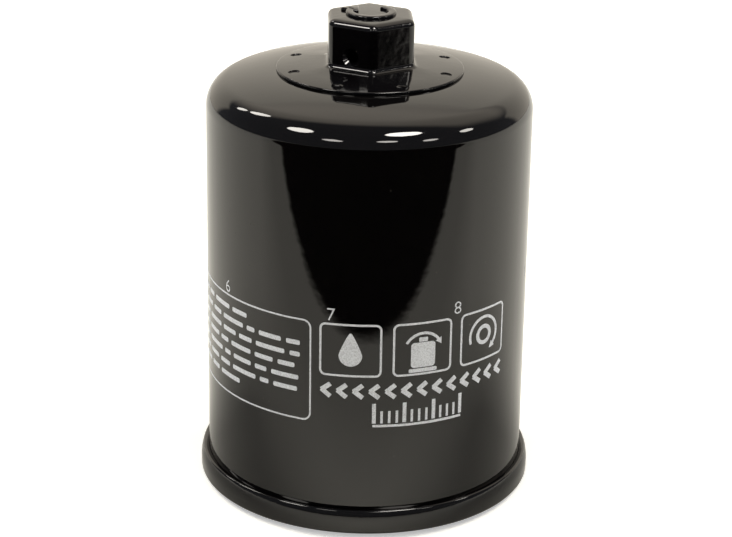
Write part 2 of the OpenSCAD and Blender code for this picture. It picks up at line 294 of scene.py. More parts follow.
print("studio:", len(WALLS), "walls of light and", len(LAMPS), "round lamps")

# %% Lamps that light the table
world = bpy.data.worlds.new("studio room")
bpy.context.scene.world = world
world.use_nodes = True
room = world.node_tree
room.nodes.clear()
seen = add_node(room, "LightPath")
dark_room = add_node(room, "Background", {"Color": linear("#6a6b70"), "Strength": 1.0})
white_room = add_node(room, "Background", {"Color": (1.0, 1.0, 1.0, 1.0), "Strength": 1.05})
both = add_node(room, "MixShader", {0: seen.outputs["Is Camera Ray"], 1: dark_room.outputs[0],
                                    2: white_room.outputs[0]})
add_node(room, "OutputWorld", {"Surface": both.outputs[0]})


def soft_lamp(name, place, power, size, in_paint=False):
    """A large soft lamp that aims at the filter and shows in its paint only if asked."""
    data = bpy.data.lights.new(name, "AREA")
    data.shape = "DISK"
    data.size = size
    data.energy = power
    data.color = (1.0, 0.985, 0.95)
    lamp = bpy.data.objects.new(name, data)
    lamp.location = place
    lamp.rotation_mode = "QUATERNION"
    lamp.rotation_quaternion = (Vector((0, 0, 0.04)) - Vector(place)).to_track_quat("-Z", "Y")
    lamp.visible_glossy = in_paint
    bpy.context.scene.collection.objects.link(lamp)
    print(name, "gives", power, "W")


soft_lamp("key_left", (-0.9, 0.25, 1.1), 17.5, 0.8)
soft_lamp("key_right", (0.9, 0.25, 1.1), 17.5, 0.8)
soft_lamp("front_fill", (0.0, -0.9, 1.3), 3.5, 1.0)
soft_lamp("under_lamp", (0.25, -0.3, -0.7), 8.0, 0.8, in_paint=True)

# %% [markdown]
# ## Black gloss enamel
# The can is sprayed with black stoving enamel. It is a deep gloss over a pressed steel skin: nearly
# black, with a mirror coat whose surface has a faint orange peel, a few dust nibs and light handling
# marks. The orange peel of a sprayed can is about 1.5 mm across and only a micron or so deep.

# %% Enamel


def enamel(name, hex_colour, roughness, peel):
    """Stoving enamel, its orange peel as strong as asked."""
    material, tree, place = new_material(name)
    peel_mm = 1.6
    peel_noise = add_node(tree, "TexNoise", {"Vector": place, "Scale": 1 / (peel_mm * MM), "Detail": 1.0})
    wave_mm = 14.0
    waves = add_node(tree, "TexNoise", {"Vector": place, "Scale": 1 / (wave_mm * MM), "Detail": 2.0})
    smear = add_node(tree, "MapRange", {"Value": waves.outputs[0], "From Min": 0.35, "From Max": 0.7,
                                        "To Min": roughness * 0.8, "To Max": roughness * 1.5})
    nib_mm = 3.2
    nibs = add_node(tree, "TexVoronoi", {"Vector": place, "Scale": 1 / (nib_mm * MM)}, feature="F1")
    nib = add_node(tree, "MapRange", {"Value": nibs.outputs["Distance"], "From Min": 0.035,
                                      "From Max": 0.02})
    coat(tree, nib.outputs[0], (hex_colour, "#5a564f"),
         [(waves.outputs[0], 0.04, 0.2), (peel_noise.outputs[0], peel, 0.05)],
         Roughness=smear.outputs[0], IOR=1.5)
    return material


can_enamel = enamel("black stoving enamel", "#060505", 0.03, 0.12)
nut_enamel = enamel("black enamel on the nut", "#070607", 0.07, 0.25)
seam_enamel = enamel("black enamel on the seam", "#060505", 0.07, 0.25)

# %% [markdown]
# ## Bare and plated steel
# Inside and underneath, the pieces are pressed from tinned strip, turned from bar or wound from spring
# wire. Each keeps the marks of how it was made: rolling lines on strip, rings on a turned face, a fine
# drawn grain on wire. The marks stretch a noise along one direction, so one recipe serves all of them.

# %% Metals


def marked_metal(name, light_hex, dark_hex, roughness, grain_mm, along, depth_mm):
    """Metal with marks grain_mm wide that run along an axis, and cloudy patches of its plating."""
    material, tree, place = new_material(name)
    stretch = 30.0
    scale = [1.0 / stretch if axis == along else 1.0 for axis in "XYZ"]
    lines_at = add_node(tree, "Mapping", {"Vector": place, "Scale": scale})
    lines = add_node(tree, "TexNoise", {"Vector": lines_at.outputs[0], "Scale": 1 / (grain_mm * MM),
                                        "Detail": 3.0})
    cloud_mm = 9.0
    clouds = add_node(tree, "TexNoise", {"Vector": place, "Scale": 1 / (cloud_mm * MM), "Detail": 4.0})
    both = add_node(tree, "Math", {0: lines.outputs[0], 1: clouds.outputs[0]}, operation="MULTIPLY")
    spread = add_node(tree, "MapRange", {"Value": both.outputs[0], "From Min": 0.15, "From Max": 0.4})
    dull = add_node(tree, "MapRange", {"Value": clouds.outputs[0], "From Min": 0.3, "From Max": 0.7,
                                       "To Min": roughness * 0.8, "To Max": roughness * 1.35})
    coat(tree, spread.outputs[0], (dark_hex, light_hex), [(lines.outputs[0], 0.5, depth_mm)],
         Metallic=1.0, Roughness=dull.outputs[0])
    return material


tinned_steel = marked_metal("bright tinned strip", "#cfcfca", "#a9aaa6", 0.26, 0.35, "X", 0.010)
perforated_steel = marked_metal("tinned perforated strip", "#c9c9c4", "#a0a19d", 0.30, 0.30, "Z", 0.012)
plated_steel = marked_metal("zinc plated plate", "#b4b6b2", "#8d8f8a", 0.34, 0.45, "Y", 0.020)
turned_steel = marked_metal("zinc plated turned steel", "#c4c5c2", "#9a9b98", 0.24, 0.25, "X", 0.008)
spring_steel = marked_metal("oil tempered spring wire", "#9a9a9b", "#6d6e70", 0.30, 0.20, "Z", 0.006)
washer_brass = marked_metal("tumbled brass", "#d2b36c", "#a98744", 0.32, 0.40, "Y", 0.010)

# %% [markdown]
# ## Rubber, compound, adhesive and paper
# Nitrile and silicone are moulded, with a dull skin and a little pale bloom. The seaming compound and the
# plastisol bed are poured and cured, so they are smooth, lumpy and slightly waxy. Filter paper is a soft
# felt of cellulose, stiffened with amber resin, in which single fibres show as fine crossing lines.

# %% Soft finishes


def moulded_rubber(name, hex_colour, bloom_hex, roughness):
    """Rubber with a fine mould texture and a cloudy bloom."""
    material, tree, place = new_material(name)
    skin_mm = 0.35
    skin = add_node(tree, "TexNoise", {"Vector": place, "Scale": 1 / (skin_mm * MM), "Detail": 2.0})
    bloom_mm = 7.0
    bloom = add_node(tree, "TexNoise", {"Vector": place, "Scale": 1 / (bloom_mm * MM), "Detail": 5.0})
    dusty = add_node(tree, "MapRange", {"Value": bloom.outputs[0], "From Min": 0.5, "From Max": 0.75,
                                        "To Max": 0.35})
    dull = add_node(tree, "MapRange", {"Value": bloom.outputs[0], "From Min": 0.3, "From Max": 0.7,
                                       "To Min": roughness * 0.85, "To Max": roughness * 1.2})
    coat(tree, dusty.outputs[0], (hex_colour, bloom_hex), [(skin.outputs[0], 0.4, 0.02)], IOR=1.52,
         Roughness=dull.outputs[0])
    return material


def poured_resin(name, hex_colour, deep_hex, roughness):
    """Cured compound: waxy, with slow lumps where it flowed."""
    material, tree, place = new_material(name)
    flow_mm = 2.4
    flow = add_node(tree, "TexNoise", {"Vector": place, "Scale": 1 / (flow_mm * MM), "Detail": 2.0})
    dull = add_node(tree, "MapRange", {"Value": flow.outputs[0], "To Min": roughness,
                                       "To Max": roughness * 1.4})
    coat(tree, flow.outputs[0], (deep_hex, hex_colour), [(flow.outputs[0], 0.5, 0.1)],
         Roughness=dull.outputs[0])
    return material


def resin_paper(name):
    """Felted filter paper: fibres, drawn 0.25 mm wide so that they show, and uneven resin."""
    material, tree, place = new_material(name)
    fibre_mm = 0.25
    around = add_node(tree, "Mapping", {"Vector": place, "Scale": (1.0, 1.0, 0.12)})
    fibres = add_node(tree, "TexNoise", {"Vector": around.outputs[0], "Scale": 1 / (fibre_mm * MM),
                                         "Detail": 4.0})
    soak_mm = 6.0
    soak = add_node(tree, "TexNoise", {"Vector": place, "Scale": 1 / (soak_mm * MM), "Detail": 3.0})
    both = add_node(tree, "Math", {0: fibres.outputs[0], 1: soak.outputs[0]}, operation="ADD")
    spread = add_node(tree, "MapRange", {"Value": both.outputs[0], "From Min": 0.75, "From Max": 1.25})
    coat(tree, spread.outputs[0], ("#c9ac62", "#e9d9a4"), [(fibres.outputs[0], 0.6, 0.05)], Roughness=0.85)
    return material


gasket_rubber = moulded_rubber("moulded nitrile rubber", "#1b1b1c", "#4c4b49", 0.52)
seal_rubber = moulded_rubber("bonded nitrile rubber", "#1e1e1f", "#444342", 0.45)
valve_rubber = moulded_rubber("moulded silicone rubber", "#8a4326", "#b98a70", 0.48)
seam_compound = poured_resin("cured seaming compound", "#84916c", "#6c7858", 0.5)
bed_adhesive = poured_resin("cured plastisol", "#a89c82", "#8c8069", 0.42)
filter_paper = resin_paper("resin treated filter paper")

# %% [markdown]
# ## Turning
# Most pieces of a filter are round. A profile is traced point by point, as on a lathe drawing, and spun
# once round the axis. Then its doubled seam is merged and its faces are made to point outwards. A few
# helpers come first, to pick, move and change a piece.

# %% Picking, moving and changing a piece


def pick(piece):
    """Selects one piece and nothing else."""
    bpy.ops.object.select_all(action="DESELECT")
    piece.select_set(True)
    bpy.context.view_layer.objects.active = piece


def shift(x, y=0.0, z=0.0):
    """A move, in millimetres."""
    return Matrix.Translation((x * MM, y * MM, z * MM))


def turned(degrees, axis="Z"):
    """A turn round an axis through the origin."""
    return Matrix.Rotation(math.radians(degrees), 4, axis)


def modify(piece, kind, **settings):
    """Gives a piece a modifier and applies it."""
    pick(piece)
    made = piece.modifiers.new(kind.lower(), kind)
    for name, value in settings.items():
        setattr(made, name, value)
    bpy.ops.object.modifier_apply(modifier=made.name)


def edit_all(select="VERT"):
    """Starts an edit with everything selected."""
    bpy.ops.object.mode_set(mode="EDIT")
    bpy.ops.mesh.select_mode(type=select)
    bpy.ops.mesh.select_all(action="SELECT")


def close_skin(apart, fill=False):
    """Ends an edit: merges points nearer than a distance, fills holes if asked and turns the faces out."""
    bpy.ops.mesh.select_all(action="SELECT")
    bpy.ops.mesh.remove_doubles(threshold=apart)
    if fill:
        bpy.ops.mesh.select_all(action="SELECT")
        bpy.ops.mesh.fill_holes(sides=0)
        bpy.ops.mesh.select_all(action="SELECT")
    bpy.ops.mesh.normals_make_consistent(inside=False)
    bpy.ops.object.mode_set(mode="OBJECT")


# %% Turned pieces


def arc(centre, radius, start, end, steps):
    """Points along an arc, its angles in degrees. A pair of radii makes it an ellipse."""
    across, up = radius if isinstance(radius, tuple) else (radius, radius)
    angles = [math.radians(start + (end - start) * i / steps) for i in range(steps + 1)]
    return [(centre[0] + across * math.cos(a), centre[1] + up * math.sin(a)) for a in angles]


def trace_profile(name, profile):
    """A chain of edges in the plane of the axis: one point extruded along a profile in millimetres."""
    points = [(x * MM, z * MM) for x, z in profile]
    bpy.ops.object.select_all(action="DESELECT")
    bpy.ops.mesh.primitive_plane_add(size=0.001)
    piece = bpy.context.object
    piece.name = name
    edit_all()
    bpy.ops.mesh.merge(type="CENTER")
    bpy.ops.transform.translate(value=(points[0][0], 0, points[0][1]))
    for before, after in zip(points, points[1:]):
        step = (after[0] - before[0], 0, after[1] - before[1])
        bpy.ops.mesh.extrude_vertices_move(TRANSFORM_OT_translate={"value": step})
    return piece


def finish_piece(piece, smooth=35):
    """Puts a piece's place in its mesh and shades it smooth, but for its sharp edges."""
    pick(piece)
    bpy.ops.object.transform_apply(location=True, rotation=True, scale=True)
    bpy.ops.object.shade_smooth_by_angle(angle=math.radians(smooth))
    return piece


def turn(name, points, steps=AROUND, smooth=35):
    """A turned piece: its profile, in millimetres from the axis and above the table, spun once round. The
    profile is closed unless it starts on the axis."""
    piece = trace_profile(name, points if points[0][0] == 0 else points + [points[0]])
    bpy.ops.mesh.select_all(action="SELECT")
    bpy.ops.mesh.spin(steps=steps, angle=math.tau, center=(0, 0, 0), axis=(0, 0, 1))
    close_skin(1e-7)
    return finish_piece(piece, smooth)


def open_edges(piece):
    """How many edges don't join exactly two faces: none on a closed piece."""
    joined = Counter(edge for face in piece.data.polygons for edge in face.edge_keys)
    return sum(1 for count in joined.values() if count != 2)


def dress(piece, body, material):
    """Gives a finished piece its material and the body that it moves with, if it rides on just one."""
    piece.data.materials.clear()
    piece.data.materials.append(material)
    if body:
        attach(piece, body)
    print(piece.name, len(piece.data.polygons), "faces,", open_edges(piece), "open edges")


def cut(piece, cutter):
    """Takes the cutter's solid out of a piece and merges the doubled points that this leaves."""
    modify(piece, "BOOLEAN", operation="DIFFERENCE", solver="EXACT", object=cutter)
    bpy.data.objects.remove(cutter)
    edit_all()
    bpy.ops.mesh.remove_doubles(threshold=1e-6)
    bpy.ops.object.mode_set(mode="OBJECT")


def copies_round(piece, places):
    """Copies of a piece, each with its own mesh, moved to their places and joined in one."""
    made = []
    for place in places:
        copy = piece.copy()
        copy.data = piece.data.copy()
        copy.data.transform(place)
        bpy.context.scene.collection.objects.link(copy)
        made.append(copy)
    bpy.data.objects.remove(piece)
    return join(made)


def join(made):
    """Several objects made one."""
    bpy.ops.object.select_all(action="DESELECT")
    for each in made:
        each.select_set(True)
    bpy.context.view_layer.objects.active = made[0]
    bpy.ops.object.join()
    return made[0]


# %% [markdown]
# ## The can
# The can is drawn from one disc of steel. Its shoulder is a round of 5.5 mm that runs without a corner into
# a shallow dome, which is pressed flat under the nut. Its open edge is hooked into the double seam.

# %% Can
shoulder_r = 5.5
dome_r = can_r - shoulder_r
shoulder_z = 79.4
dome_slope = 15.0
flange_slope = 6.2
hook_z = seam_low + 0.8
hook_r = 33.1
hook_top = 3.8


def dome_arc(inset):
    """The dome, from the shoulder to the rim of the nut's flange: one wide arc that both ends fix."""
    lean_out, lean_in = math.radians(dome_slope), math.radians(flange_slope)
    edge_x = dome_r + shoulder_r * math.sin(lean_out)
    edge_z = shoulder_z + shoulder_r * math.cos(lean_out)
    radius = (edge_x - flange_r) / (math.sin(lean_out) - math.sin(lean_in))
    centre = (edge_x - radius * math.sin(lean_out), edge_z - radius * math.cos(lean_out))
    return arc(centre, radius - inset, 90 - dome_slope, 90 - flange_slope, 12)


def can_side(inset):
    """One face of the can, from the foot of the shoulder to the axis."""
    round_over = arc((dome_r, shoulder_z), shoulder_r - inset, 0, 90 - dome_slope, 16)
    seat = [(flange_r - 1.2, seat_z - inset), (0, seat_z - inset)]
    return round_over + dome_arc(inset)[1:] + seat


WALL_RINGS = (20, 40, 60)
hook = [(can_r, hook_z + wall), (hook_r, hook_z + wall), (hook_r, hook_top), (hook_r + wall, hook_top),
        (hook_r + wall, hook_z), (can_r - wall, hook_z)]
outside = can_side(0)[::-1] + [(can_r, z) for z in WALL_RINGS[::-1]]
inside = [(can_r - wall, z) for z in WALL_RINGS] + can_side(wall)
can = turn("canister", outside + hook + inside)
dress(can, HOUSING, can_enamel)
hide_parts("canister_shell")

# %% [markdown]
# ## The wrench nut
# The nut is cold formed in one piece with its round flange, then welded to the can and painted with it.
# Paint and forming leave no sharp edge on it: the corners, the top and the foot are all rounded. So it
# is built as a stack of rings, each a circle or a rounded hexagon, which gives every rounding its own
# exact size and leaves one closed skin.

# %% Stack of rings
nut_af = 16.8
nut_corner = 1.8
nut_turn = 2.8
corner_direction = nut_turn - 90
flange_t = 0.65
ring_points = 240


def flange_at(radius):
    """Height of the flange's coned top at a radius."""
    return seat_z + flange_t + (flange_r - radius) * math.tan(math.radians(flange_slope))


def circle(radius):
    """Reach of a circle in any direction."""
    return lambda angle: radius


def hexagon(offset, share=1.0):
    """Reach of the rounded hexagon, grown by an offset or shrunk to a share of itself."""
    apothem = nut_af / 2 + offset
    corner = max(nut_corner + offset, 0.12)
    centre = (apothem - corner) / math.cos(math.radians(30))
    ends_at = math.atan2(corner / 2, centre + corner * math.cos(math.radians(30)))

    def reach(angle):
        off = math.radians(abs((math.degrees(angle) - corner_direction + 30) % 60 - 30))
        if off > ends_at:
            return share * apothem / math.cos(math.radians(30) - off)
        return share * (centre * math.cos(off) + math.sqrt(corner ** 2 - (centre * math.sin(off)) ** 2))

    return reach


def place_ring(piece, reach, height):
    """Moves the selected ring to its reach and height, each point along its own direction."""
    mesh = bmesh.from_edit_mesh(piece.data)
    for point in mesh.verts:
        if point.select:
            angle = math.atan2(point.co.y, point.co.x)
            out = reach(angle) * MM
            point.co = (out * math.cos(angle), out * math.sin(angle), height * MM)
    bmesh.update_edit_mesh(piece.data)


def stack(name, rings):
    """A closed piece built up by extruding a face through a list of rings."""
    bpy.ops.object.select_all(action="DESELECT")
    bpy.ops.mesh.primitive_circle_add(vertices=ring_points, radius=0.01, fill_type="NGON")
    piece = bpy.context.object
    piece.name = name
    edit_all()
    for number, (reach, height) in enumerate(rings):
        if number:
            bpy.ops.mesh.extrude_region_move()
        place_ring(piece, reach, height)
    close_skin(1e-7)
    return piece


# %% Flange and hexagon
flange_edge = 0.25
foot_r = 9.0
foot_z = flange_at(foot_r)
foot = 1.0
foot_sink = 0.08
crown = 1.35
crown_rise = 0.15
top_slope = 84
rings = [(circle(flange_r - 0.12), seat_z), (circle(flange_r), seat_z + 0.12)]
rings += [(circle(r), z) for r, z in arc((flange_r - flange_edge, seat_z + flange_t - flange_edge),
                                         flange_edge, 0, 90 - flange_slope, 5)]
rings += [(circle(14.0), flange_at(14.0))]
rings += [(hexagon(grow), z) for grow, z in arc((foot, foot_z - foot_sink + foot), foot, 270, 180, 7)]
round_z = nut_top - crown_rise - crown * math.sin(math.radians(top_slope))
rings += [(hexagon(grow), z) for grow, z in arc((-crown, round_z), crown, 0, top_slope, 9)]
for share in (0.9, 0.7, 0.45, 0.2):
    rings.append((hexagon(-crown * 0.85, share), nut_top - crown_rise * share ** 2))
nut = stack("nut_and_flange", rings)
print("undrilled nut:", open_edges(nut), "open edges")

# %% [markdown]
# ### Hollow, weld marks and wire hole
# The blank is hollow underneath. Eight projection welds leave shallow round marks on the flange, and a
# hole through two opposite flats takes a safety wire. Its mouths are countersunk so that the wire isn't
# cut. All are taken out with boolean cuts, as a drill or punch would.

# %% Drilling the nut
hollow_r = 5.0
hollow = turn("hollow", [(0, seat_z - 1), (hollow_r, seat_z - 1), (hollow_r, nut_top - 4.4),
                         (3.8, nut_top - 2.9), (0, nut_top - 2.4)], steps=48)
cut(nut, hollow)
weld_count = 8
weld_ring = 16.1
weld_depth = 0.3
weld_r = 1.2
weld_mark = turn("weld_mark", [(0, -weld_depth), (0.85, -weld_depth), (1.05, -weld_depth + 0.08),
                               (weld_r, 0.2), (weld_r, 1), (0, 1)], steps=32)
at_ring = shift(weld_ring, 0, flange_at(weld_ring)) @ turned(flange_slope, "Y")
spots = [turned(360 * (i + 0.5) / weld_count) @ at_ring for i in range(weld_count)]
cut(nut, copies_round(weld_mark, spots))
wire_hole = 1.2
wire_rise = 2.6
mouth = 1.85
flat_at = nut_af / 2
drill_side = [(0, -flat_at - 2), (mouth, -flat_at - 2), (mouth, -flat_at - 0.1), (wire_hole, -flat_at + 0.7)]
wire_drill = turn("wire_drill", drill_side + [(x, -z) for x, z in drill_side[::-1]], steps=48)
wire_drill.data.transform(shift(0, 0, foot_z + wire_rise) @ turned(nut_turn - 120) @ turned(90, "Y"))
cut(nut, wire_drill)
finish_piece(nut, 32)
dress(nut, HOUSING, nut_enamel)
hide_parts("wrench_nut")

# %% [markdown]
# ## Turning mark on the nut
# The top of the nut carries a raised mark from the forming die. A plain arrow that shows the way to
# tighten serves: it is a flat ring of three quarters of a turn with a head, raised by half a millimetre
# and softened by the paint.

# %% Flat shapes


def flat_ring(radius, width, start, sweep, centre=(0, 0)):
    """A flat band along part of a circle, its angles in degrees."""
    piece = trace_profile("band", [(radius - width / 2, 0), (radius + width / 2, 0)])
    bpy.ops.mesh.select_all(action="SELECT")
    steps = max(4, round(abs(sweep) / 7))
    bpy.ops.mesh.spin(steps=steps, angle=-math.radians(sweep), center=(0, 0, 0), axis=(0, 0, 1))
    close_skin(1e-7)
    piece.data.transform(shift(*centre) @ turned(start))
    return piece


def arrow_head(tip_direction, radius, centre):
    """A flat triangle whose tip points in a direction given in degrees."""
    bpy.ops.object.select_all(action="DESELECT")
    bpy.ops.mesh.primitive_circle_add(vertices=3, radius=radius * MM, fill_type="TRIFAN")
    piece = bpy.context.object
    piece.data.transform(shift(*centre) @ turned(tip_direction - 90))
    return piece


def turning_arrow(radius, width, start, sweep, centre=(0, 0)):
    """A curved arrow, clockwise when the sweep is negative."""
    end = math.radians(start + sweep)
    tip_at = (centre[0] + radius * math.cos(end), centre[1] + radius * math.sin(end))
    heading = start + sweep + (90 if sweep > 0 else -90)
    return [flat_ring(radius, width, start, sweep, centre), arrow_head(heading, width * 1.5, tip_at)]


def thicken(piece, thickness):
    """Turns a flat shape face up and gives it its thickness above the plane."""
    pick(piece)
    bpy.ops.object.mode_set(mode="EDIT")
    bpy.ops.mesh.select_mode(type="FACE")
    bpy.ops.object.mode_set(mode="OBJECT")
    for face in piece.data.polygons:
        face.select = face.normal.z < 0
    bpy.ops.object.mode_set(mode="EDIT")
    bpy.ops.mesh.flip_normals()
    bpy.ops.object.mode_set(mode="OBJECT")
    modify(piece, "SOLIDIFY", thickness=thickness * MM, offset=1.0)
    return piece


# %% Raised arrow
mark_raised = 0.5
mark_sunk = 0.35
mark = thicken(join(turning_arrow(4.2, 1.6, 60, -270)), mark_raised + mark_sunk)
mark.name = "nut_turning_mark"
mark.data.transform(shift(0, 0, nut_top - mark_sunk))
modify(mark, "BEVEL", width=0.28 * MM, segments=3, limit_method="ANGLE")
finish_piece(mark, 40)
dress(mark, HOUSING, nut_enamel)

# %% [markdown]
# ## Lid and double seam
# The thin lid is curled round the edge of the can and rolled flat against it, which makes the bead at the
# open end. The roll leaves the bead's wall leaning in a little towards its top, which turns over tightly.
# Inside it the lid is pressed into the groove that holds the gasket. One turned profile follows the sheet
# from the groove, down the chuck wall, round the bead and down behind the can's own hook.

# %% Lid
cover_r = can_r + 0.05
bead_x = seam_r - 1.45
bead_z = 3.75
groove_z = high("mounting_gasket") + 0.05
groove_in = 26.45
chuck_r = can_r - wall - 0.05 - sheet
bead_low = 0.7
bulge_z = 3.2
tight = 0.5


def lid_outside():
    """The painted face: up the bead and over it to the can, then down the hook to its edge."""
    low_round = arc((seam_r - bead_low, seam_low + bead_low), bead_low, -90, 0, 6)
    lean = 20
    tight_z = seam_top - tight
    bulge = (tight_z + tight * math.sin(math.radians(lean)) - bulge_z) / math.sin(math.radians(lean))
    tight_x = seam_r - bulge + (bulge - tight) * math.cos(math.radians(lean))
    slack_wall = arc((seam_r - bulge, bulge_z), bulge, 0, lean, 6)
    high_round = arc((tight_x, tight_z), tight, lean, 95, 8)
    return low_round + slack_wall + high_round[1:] + [(cover_r, seam_top - 0.25),
                                                      (cover_r, hook_z + wall + 0.4)]


def lid_inside():
    """The face towards the can: up behind the hook, down inside the bead and over the groove."""
    under_top = arc((bead_x, bead_z), (0.95, seam_top - bead_z - sheet), 68, 0, 10)
    low_turn = arc((seam_r - sheet - 0.3, seam_low + sheet + 0.3), 0.3, 0, -90, 4)
    up_groove = [(chuck_r + sheet, seam_low + sheet), (chuck_r + sheet, groove_z + sheet - 0.5)]
    groove_top = arc((chuck_r + sheet - 0.5, groove_z + sheet - 0.5), 0.5, 0, 90, 4)
    inner_top = arc((groove_in + 0.6, groove_z + sheet - 0.6), 0.6, 90, 180, 4)
    inner_foot = arc((groove_in + sheet / 2, seam_low + 0.8 + sheet / 2), sheet / 2, 180, 360, 6)
    return ([(cover_r + sheet, hook_z + wall + 0.4)] + under_top + low_turn + up_groove + groove_top
            + inner_top + inner_foot)


groove_corner = [(groove_in + sheet, groove_z - 0.15), (groove_in + sheet + 0.15, groove_z),
                 (chuck_r - 0.3, groove_z), (chuck_r, groove_z - 0.3)]
chuck_foot = arc((chuck_r + 0.5, seam_low + 0.5), 0.5, 180, 270, 5)
lid = turn("lid_and_seam", lid_outside() + lid_inside() + groove_corner + chuck_foot)
dress(lid, HOUSING, tinned_steel)
lid.data.materials.append(seam_enamel)
painted_from = chuck_r + 0.3
paint_reach = 0.45
for face in lid.data.polygons:
    out = math.hypot(face.center.x, face.center.y) / MM
    height = face.center.z / MM
    outside_seam = (height < seam_low + paint_reach or height > seam_top - paint_reach
                    or out > seam_r - paint_reach)
    face.material_index = 1 if out > painted_from and outside_seam else 0
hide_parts("seaming_lid")

# %% [markdown]
# ## Thread plate
# The plate is blanked from thick strip. Its collar is drawn up and tapped M20 x 1.5, and eight inlet
# holes are pierced round it. A tap leaves a helix, which stacked rings can't give, so the tap itself is
# made: the tooth profile is run up a screw of one turn, closed, and cut out of the turned blank.

# %% Blank
bore = 9.188
plate_low = low("thread_plate")
plate_high = high("thread_plate")
deck = plate_low + 3.6
boss_top = deck + 2.2
plate_edge = [(bore + 0.9, plate_low), (31.2, plate_low), (31.6, plate_low + 0.4), (31.6, deck - 0.4),
              (31.2, deck)]
boss = arc((16.8, deck + 0.6), 0.6, 270, 180, 4) + [(16.2, boss_top - 0.6), (15.6, boss_top)]
collar = arc((13.0, boss_top + 0.4), 0.4, 270, 180, 4) + [(12.6, plate_high - 0.4), (12.2, plate_high)]
mouths = [(bore + 0.6, plate_high), (bore, plate_high - 0.6), (bore, plate_low + 0.9)]
plate = turn("tapped_plate", plate_edge + boss + collar + mouths)
inlet_r = 2.6
hole_low = plate_low - deck
inlet = turn("inlet_drill", [(0, hole_low - 1), (inlet_r + 0.45, hole_low - 1), (inlet_r + 0.45, hole_low),
                             (inlet_r, hole_low + 0.4), (inlet_r, -0.3), (inlet_r + 0.35, 0),
                             (inlet_r + 0.35, 3), (0, 3)], steps=40)
inlet_count = 8
inlet_ring = 19.0
at_hole = shift(inlet_ring, 0, deck)
cut(plate, copies_round(inlet, [turned(360 * i / inlet_count) @ at_hole for i in range(inlet_count)]))
print("blank:", open_edges(plate), "open edges")

# %% Tap
pitch = 1.5
tooth_low = bore - 0.04
tooth_high = 10.0
tap_low = plate_low - 2 * pitch
tap_pitches = 8
tooth = [(tooth_low, 0.0), (tooth_low, 0.19), (tooth_high, 0.656), (tooth_high, 0.844), (tooth_low, 1.31)]
tap_side = [(r, tap_low + k * pitch + z) for k in range(tap_pitches) for r, z in tooth]
tap_top = tap_low + tap_pitches * pitch
tap = trace_profile("tap", [(0, tap_low)] + tap_side + [(tooth_low, tap_top), (0, tap_top)])
bpy.ops.object.mode_set(mode="OBJECT")
modify(tap, "SCREW", axis="Z", screw_offset=pitch * MM, steps=96, render_steps=96)
edit_all()
close_skin(1e-6, fill=True)
print("tap:", len(tap.data.polygons), "faces,", open_edges(tap), "open edges")
cut(plate, tap)
finish_piece(plate, 30)
dress(plate, HOUSING, plated_steel)
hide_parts("thread_plate")

# %% [markdown]
# ## Gasket and drain-back valve
# Both are moulded rings, so they are turned with the small roundings that a mould gives. The valve's rim is
# clamped while its lip lifts off the inlet holes, so the ring is attached to neither body.

# %% Gasket
gasket_in = 27.0
gasket_out = reach_of("mounting_gasket")
gasket_top = high("mounting_gasket")
corner = 0.45
gasket_profile = []
for x, z, start in ((gasket_in + corner, corner, 180), (gasket_out - corner, corner, 270),
                    (gasket_out - corner, gasket_top - corner, 0),
                    (gasket_in + corner, gasket_top - corner, 90)):
    gasket_profile += arc((x, z), corner, start, start + 90, 4)
gasket = turn("gasket_ring", gasket_profile, smooth=60)
dress(gasket, HOUSING, gasket_rubber)
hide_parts("mounting_gasket")

# %% Drain-back valve
lip_low = low("drainback_valve")
rim_top = high("drainback_valve")
rim_low = boss_top + 0.05
lip_r = reach_of("drainback_valve")
skin = 0.9
valve_under = [(12.65, rim_low), (15.4, rim_low), (17.0, 10.2), (20.0, 9.45), (22.9, 8.74), (23.6, lip_low)]
valve_lip = arc((lip_r - skin / 2, lip_low + skin / 2), skin / 2, -90, 90, 8)
valve_over = [(23.7, 9.62), (20.6, 10.4), (17.7, 11.3), (16.6, 12.0), (15.9, 12.8), (15.5, rim_top),
              (12.65, rim_top)]
valve = turn("drainback_ring", valve_under + valve_lip + valve_over, smooth=60)
dress(valve, None, valve_rubber)
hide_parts("drainback_valve")
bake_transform(valve)

# %% [markdown]
# ## Bypass spring
# The spring is wound from round wire, with a closed coil at each end. A wire section is run up a screw of
# even pitch, and then every turn is moved to its real height, close at the ends and open between them.

# %% Spring
wire_r = 0.6
coil_r = 6.5
coils = 7
closed_rise = 2 * wire_r * 1.05
spring_low = low("bypass_spring")
spring_high = high("bypass_spring")
open_rise = spring_high - spring_low - 2 * wire_r - 2 * closed_rise
even_pitch = 3.0


def coil_height(turns):
    """Height of the wire's middle above the first coil after a number of turns."""
    if turns < 1:
        return turns * closed_rise
    if turns > coils - 1:
        return closed_rise + open_rise + (turns - coils + 1) * closed_rise
    return closed_rise + (turns - 1) / (coils - 2) * open_rise


bpy.ops.object.select_all(action="DESELECT")
bpy.ops.mesh.primitive_circle_add(vertices=14, radius=wire_r * MM)
spring = bpy.context.object
spring.name = "bypass_coil"
spring.data.transform(shift(coil_r) @ turned(90, "X"))
modify(spring, "SCREW", axis="Z", screw_offset=even_pitch * MM, iterations=coils, steps=40, render_steps=40)
for point in spring.data.vertices:
    part_turn = math.atan2(point.co.y, point.co.x) / math.tau % 1.0
    whole = round(point.co.z / (even_pitch * MM) - part_turn)
    turns = min(max(whole + part_turn, 0.0), coils)
    off_middle = point.co.z / MM - turns * even_pitch
    point.co.z = (spring_low + wire_r + coil_height(turns) + off_middle) * MM
edit_all()
close_skin(1e-7, fill=True)
finish_piece(spring, 50)
dress(spring, HOUSING, spring_steel)
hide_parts("bypass_spring")
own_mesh(spring)

